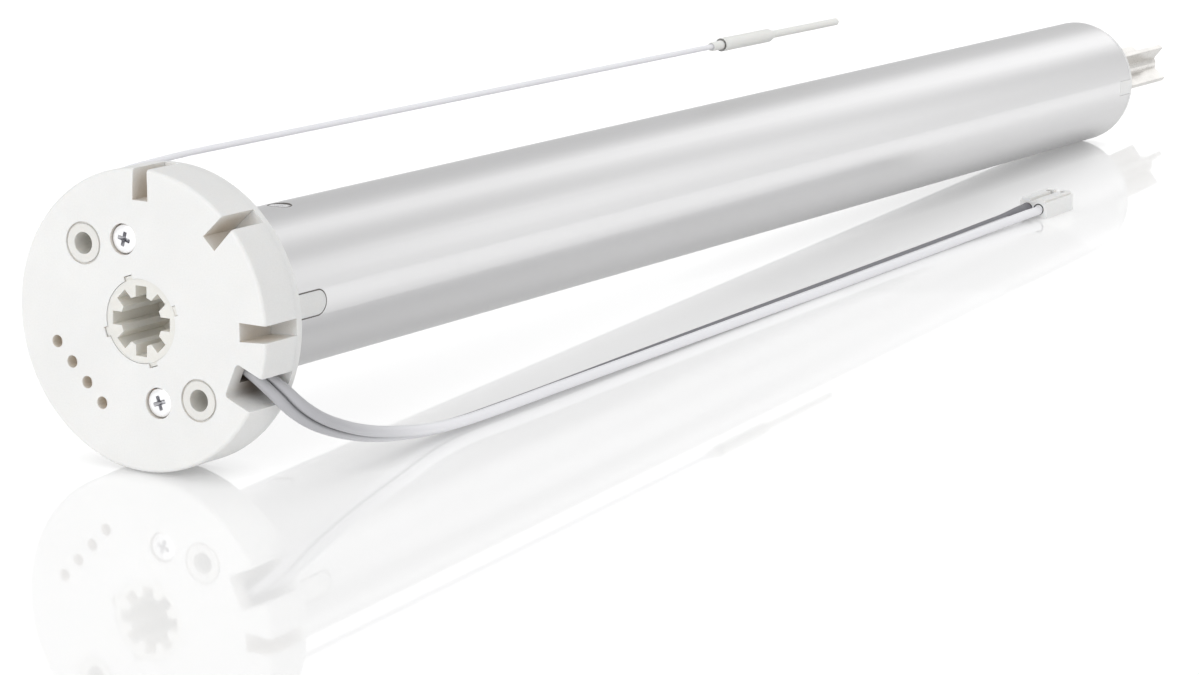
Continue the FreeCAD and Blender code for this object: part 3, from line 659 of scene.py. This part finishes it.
def circuit_laminate(name):
    """Green solder mask with copper tracks that show through and tinned pads."""
    mask, track, pad = (0.012, 0.13, 0.05), (0.03, 0.24, 0.09), (0.72, 0.70, 0.64)
    cell_size, pad_pitch = 9 * MM, 2.54 * MM
    material, tree, shader = new_material(name, mask, roughness=0.28)
    where = object_coordinates(tree)
    cells = node(tree, "ShaderNodeTexBrick", Scale=1 / cell_size, Color1=(*mask, 1),
                 Color2=(*shade(mask, 1.3), 1), Mortar=(*track, 1))
    cells.inputs["Mortar Size"].default_value = 0.05
    tree.links.new(where, cells.inputs["Vector"])
    dots = node(tree, "ShaderNodeTexVoronoi", Scale=1 / pad_pitch, Randomness=0.25)
    tree.links.new(where, dots.inputs["Vector"])
    pads = remap(tree, dots.outputs["Distance"], 0.17, 0.20, low=1.0, high=0.0)
    surface = blend_colours(tree, pads, cells.outputs["Color"], plain_colour(tree, pad))
    tree.links.new(surface, shader.inputs["Base Color"])
    bump(tree, shader, pads, 0.04 * MM)
    return material


def anodised_tube(name):
    """Satin anodised extrusion: fine die lines along the tube and a silky spread of light round it."""
    colour = (0.668, 0.666, 0.670)
    material, tree, shader = new_material(name, colour, roughness=0.34, metallic=1.0)
    lines = noise(tree, object_coordinates(tree, DIE_LINES), 1.0, detail=4.0, roughness=0.65)
    cloud = noise(tree, object_coordinates(tree, TUBE_CLOUD), 1.0, detail=2.0)
    tree.links.new(tint(tree, cloud, shade(colour, 0.985), shade(colour, 1.01)), shader.inputs["Base Color"])
    tree.links.new(between(tree, lines, 0.30, 0.40), shader.inputs["Roughness"])
    shader.inputs["Anisotropic"].default_value = 0.45
    tangent = tree.nodes.new("ShaderNodeTangent")
    tangent.direction_type = "RADIAL"
    tangent.axis = "X"
    tree.links.new(tangent.outputs["Tangent"], shader.inputs["Tangent"])
    bump(tree, shader, lines, 0.0015 * MM)
    return material


# ---- The materials ----
# The plug's two windows: how far along it, beside its middle and above its wire holes they are.
WINDOW_ALONG, WINDOW_ASIDE, WINDOW_UP = 10.4 * MM, 1.35 * MM, 1.9 * MM
WINDOWS = [PLUG_AT + PLUG_ALONG * WINDOW_ALONG + PLUG_ACROSS * side * WINDOW_ASIDE + PLUG_UP * WINDOW_UP
           for side in (-1, 1)]
# Spots of painted shade, as (place, inner radius, outer radius).
WINDOW_SHADE = [(tuple(place), 0.45 * MM, 0.95 * MM) for place in WINDOWS]
NOTCH_SHADE = ((7.5 * MM, *polar(17.0 * MM, NOTCH_ANGLE)), 2.0 * MM, 7.5 * MM)
WHITE = (0.86, 0.86, 0.85)
EVEN_LINES = (900, 900, 900)        # the same in all directions, for small turned heads
# Each material has its slot's name, a colour and a roughness, and then what sets it apart.
# Colours given for hollows paint shade into slots and recesses where they are darker than the material, and
# paint light where they are lighter, as in the socket and the bushes. Dark spots paint shade at the notch and
# at the plug's windows.
MATERIALS = {
    "head_plastic": moulded_plastic("head_plastic", WHITE, 0.46, grain=0.30 * MM, depth=0.03 * MM,
                                    subsurface=0.25, recess_light_and_shade=(0.66, 0.59, 0.50), shade_spots=[NOTCH_SHADE]),
    "socket_plastic": moulded_plastic("socket_plastic", (0.82, 0.81, 0.77), 0.42, subsurface=0.3,
                                      recess_light_and_shade=(0.90, 0.87, 0.80)),
    "bush_plastic": moulded_plastic("bush_plastic", (0.80, 0.79, 0.76), 0.30, depth=0.003 * MM,
                                    subsurface=0.3, recess_light_and_shade=(0.86, 0.83, 0.75), reach=3 * MM),
    "screw_zinc": drawn_metal("screw_zinc", (0.95, 0.95, 0.96), 0.32, EVEN_LINES, depth=0.004 * MM,
                              spread=0.08, metallic=0.45),
    "gland_plastic": moulded_plastic("gland_plastic", (0.22, 0.17, 0.13), 0.55),
    "tube_aluminium": anodised_tube("tube_aluminium"),
    "cap_plastic": moulded_plastic("cap_plastic", (0.95, 0.95, 0.94), 0.36, subsurface=0.15),
    "shaft_zinc": cast_metal("shaft_zinc", (0.68, 0.665, 0.64), 0.26, pit=0.35 * MM, depth=0.004 * MM,
                             recess_light_and_shade=(0.40, 0.36, 0.31)),
    "ring_steel": drawn_metal("ring_steel", (0.18, 0.18, 0.19), 0.40),
    "bearing_bronze": cast_metal("bearing_bronze", (0.48, 0.32, 0.16), 0.42, pit=0.25 * MM, depth=0.01 * MM),
    # The lead's near and groove colours are painted shade.
    "lead_sheath": lead_plastic("lead_sheath", shade_near_head=(0.46, 0.46, 0.48), far=(0.93, 0.93, 0.96),
                                groove=(0.20, 0.20, 0.21)),
    "plug_nylon": moulded_plastic("plug_nylon", (0.95, 0.95, 0.94), 0.32, grain=0.5 * MM, depth=0.004 * MM,
                                  mottle=0.02, subsurface=0.2, recess_light_and_shade=(0.66, 0.63, 0.57), reach=1.2 * MM,
                                  shade_spots=WINDOW_SHADE),
    "contact_tin": drawn_metal("contact_tin", (0.20, 0.17, 0.13), 0.40),
    "aerial_sheath": moulded_plastic("aerial_sheath", (0.93, 0.93, 0.97), 0.30, grain=0.5 * MM,
                                     depth=0.003 * MM, mottle=0.02, subsurface=0.1),
    "aerial_tip_plastic": moulded_plastic("aerial_tip_plastic", (0.93, 0.93, 0.90), 0.44, subsurface=0.15),
    "tray_plastic": moulded_plastic("tray_plastic", (0.05, 0.05, 0.055), 0.5),
    "board_laminate": circuit_laminate("board_laminate"),
    "chip_black": moulded_plastic("chip_black", (0.018, 0.018, 0.02), 0.42, grain=0.12 * MM,
                                  depth=0.008 * MM),
    "capacitor_can": drawn_metal("capacitor_can", (0.75, 0.76, 0.78), 0.25, lines=(900, 900, 40)),
    "choke_ferrite": ringed("choke_ferrite", (0.45, 0.20, 0.09), dark=(0.10, 0.05, 0.03), period=0.5 * MM,
                            roughness=0.35, metallic=0.6, axis="Z"),
    "bell_plastic": moulded_plastic("bell_plastic", (0.03, 0.03, 0.032), 0.45),
    "can_steel": drawn_metal("can_steel", (0.62, 0.63, 0.64), 0.28),
    "magnet_ferrite": cast_metal("magnet_ferrite", (0.07, 0.07, 0.075), 0.55, pit=0.3 * MM, depth=0.01 * MM),
    "core_steel": ringed("core_steel", (0.42, 0.42, 0.44), dark=(0.10, 0.10, 0.11), period=0.5 * MM,
                         roughness=0.35, metallic=1.0),
    "copper": ringed("copper", (0.72, 0.28, 0.11), dark=(0.25, 0.07, 0.03), period=0.35 * MM,
                     roughness=0.28, metallic=1.0),
    "brush_graphite": moulded_plastic("brush_graphite", (0.03, 0.03, 0.032), 0.6, grain=0.2 * MM),
    "spring_bronze": drawn_metal("spring_bronze", (0.74, 0.50, 0.24), 0.28),
    "steel_ground": drawn_metal("steel_ground", (0.66, 0.67, 0.69), 0.22, lines=(2200, 90, 90)),
    "damper_rubber": moulded_plastic("damper_rubber", (0.02, 0.02, 0.02), 0.72, grain=0.3 * MM,
                                     depth=0.02 * MM),
    "brake_plastic": moulded_plastic("brake_plastic", (0.04, 0.042, 0.048), 0.48),
    "brake_lining": moulded_plastic("brake_lining", (0.16, 0.10, 0.06), 0.75, grain=0.25 * MM,
                                    depth=0.04 * MM, mottle=0.25),
    "sleeve_plastic": moulded_plastic("sleeve_plastic", (0.62, 0.60, 0.53), 0.38, subsurface=0.2),
    "gear_acetal": moulded_plastic("gear_acetal", (0.80, 0.77, 0.66), 0.32, grain=0.3 * MM,
                                   depth=0.003 * MM, mottle=0.03, subsurface=0.3),
    "carrier_metal": cast_metal("carrier_metal", (0.48, 0.48, 0.47), 0.36, pit=0.2 * MM, depth=0.008 * MM),
    "lead_wires": moulded_plastic("lead_wires", (0.42, 0.02, 0.015), 0.34, grain=0.4 * MM,
                                  depth=0.004 * MM),
}
# Painted shade in the screws' cross recesses
SCREW_RECESS_SHADE = drawn_metal("screw_recess_shade", (0.56, 0.56, 0.58), 0.30, EVEN_LINES, depth=0.004 * MM)
SHADOW_GAP = moulded_plastic("shadow_gap", (0.13, 0.12, 0.11), 0.6)
LEAD_DARK_SIDE = moulded_plastic("lead_dark_side", (0.17, 0.17, 0.19), 0.42, grain=0.6 * MM, depth=0.006 * MM)
DARK_SIDE_STEPS = range(1, 9)          # the steps round the lead that are dark


def paint(piece, *materials):
    piece.data.materials.clear()
    for material in materials:
        piece.data.materials.append(material)


def paint_cad_nodes():
    slot_of = {entry["node"]: entry["material_slot"] for entry in frame["record"]["subparts"]}
    for name, piece in frame["nodes"].items():
        paint(piece, MATERIALS[slot_of[name]])


def paint_screw(screw):
    """Zinc, with painted shade on the recess, whose faces are made after the head's."""
    paint(screw, MATERIALS["screw_zinc"], SCREW_RECESS_SHADE)
    for face in screw.data.polygons:
        if face.index >= len(SCREW_PROFILE) * SCREW_STEPS:
            face.material_index = 1


def paint_lead():
    """The sheath, dark over one side of its second core."""
    paint(lead, MATERIALS["lead_sheath"], LEAD_DARK_SIDE)
    for face in lead.data.polygons:
        if len(face.vertices) == 4 and min(v % LEAD_STEPS for v in face.vertices) in DARK_SIDE_STEPS:
            face.material_index = 1


paint_cad_nodes()
for screw in screws:
    paint_screw(screw)
# Painted shadow in the gaps round the keys and screws
for gap in tube_gap_shadows:
    paint(gap, SHADOW_GAP)
# Black, as painted shadow in the plug's wire holes
paint(hole_shadows, MATERIALS["chip_black"])
paint(rim, MATERIALS["cap_plastic"])
paint_lead()


# ---- Floor and light ----
FLOOR_WHITE = (0.50, 0.50, 0.50)
FLOOR_GLOW = 0.37                   # the floor is lit from behind, like a sheet of opal acrylic
FLOOR_SIZE = 24
CONTACT_REACH = 6 * MM              # painted contact shadow: the floor glows less this near to the object, down to this share
CONTACT_SHADE = 0.5                 # down to this share
FLOOR_MIDDLE_X = 0.2
WORLD_STRENGTH = 0.73
CEILING_UP = 3.0
CEILING_SIZE = 80
CEILING_POWER = 13800
# Each light's name, place, aim, width, height and power in watts.
LIGHTS = (
    ("over_right", (1.55, 0.00, 0.95), (0.2, 0, 0), 0.5, 1.2, 1.46),
    ("low_right", (1.40, -0.80, 0.42), (0.2, 0, 0), 0.5, 0.5, 0.70),
    ("right_far", (1.60, -0.25, 0.65), (0.2, 0, 0), 0.35, 0.25, 0.13),
    ("face_key", (-1.10, 0.10, 0.35), (0, 0, 0), 0.8, 0.6, 4.3),
    ("camera_side", (-0.30, -1.20, 0.90), (0.15, 0, 0), 1.2, 0.7, 1.1),
    ("overhead", (0.15, 0.10, 1.20), (0.15, 0, 0), 1.2, 0.8, 0.8),
)


def make_floor():
    material, tree, shader = new_material("floor", FLOOR_WHITE, roughness=0.04)
    shader.inputs["Emission Color"].default_value = (1, 1, 1, 1)
    # Painted contact shadow: the glow drops where the object closes the floor in
    glow = between(tree, occlusion(tree, CONTACT_REACH, False), CONTACT_SHADE * FLOOR_GLOW, FLOOR_GLOW)
    tree.links.new(glow, shader.inputs["Emission Strength"])
    cloud = noise(tree, object_coordinates(tree), 3.0, detail=2.0)
    tree.links.new(between(tree, cloud, 0.03, 0.05), shader.inputs["Roughness"])
    bpy.ops.mesh.primitive_plane_add(size=FLOOR_SIZE)
    floor = bpy.context.object
    floor.name = "floor"
    middle = Vector((FLOOR_MIDDLE_X, 0, floor_z(FLOOR_MIDDLE_X)))
    floor.matrix_world = matrix_facing(middle, -FLOOR_UP, Vector((0, 1, 0)))
    paint(floor, material)
    return floor


def area_light(name, place, aim, width, height, power):
    data = bpy.data.lights.new(name, "AREA")
    data.shape = "RECTANGLE"
    data.size = width
    data.size_y = height
    data.energy = power
    light = bpy.data.objects.new(name, data)
    bpy.context.scene.collection.objects.link(light)
    light.matrix_world = matrix_facing(Vector(place), Vector(aim) - Vector(place), Vector((0, 0, 1)))
    return light


def mirrored_ceiling(floor):
    """A pale ceiling, wider than the floor, that only the glossy floor mirrors.

    It is aimed a little off straight down, where its up direction would have no meaning."""
    ceiling = area_light("mirrored_ceiling", (FLOOR_MIDDLE_X, 0, CEILING_UP), (FLOOR_MIDDLE_X, 0.01, 0),
                         CEILING_SIZE, CEILING_SIZE, CEILING_POWER)
    ceiling.visible_diffuse = False
    lit = bpy.data.collections.new("lit_by_ceiling")
    lit.objects.link(floor)
    ceiling.light_linking.receiver_collection = lit


def make_world():
    world = bpy.data.worlds.new("studio")
    world.use_nodes = True
    background = world.node_tree.nodes["Background"]
    background.inputs["Color"].default_value = (1, 1, 1, 1)
    background.inputs["Strength"].default_value = WORLD_STRENGTH
    bpy.context.scene.world = world


floor = make_floor()
make_world()
for light in LIGHTS:
    area_light(*light)
mirrored_ceiling(floor)
bpy.context.scene.view_settings.view_transform = "Standard"
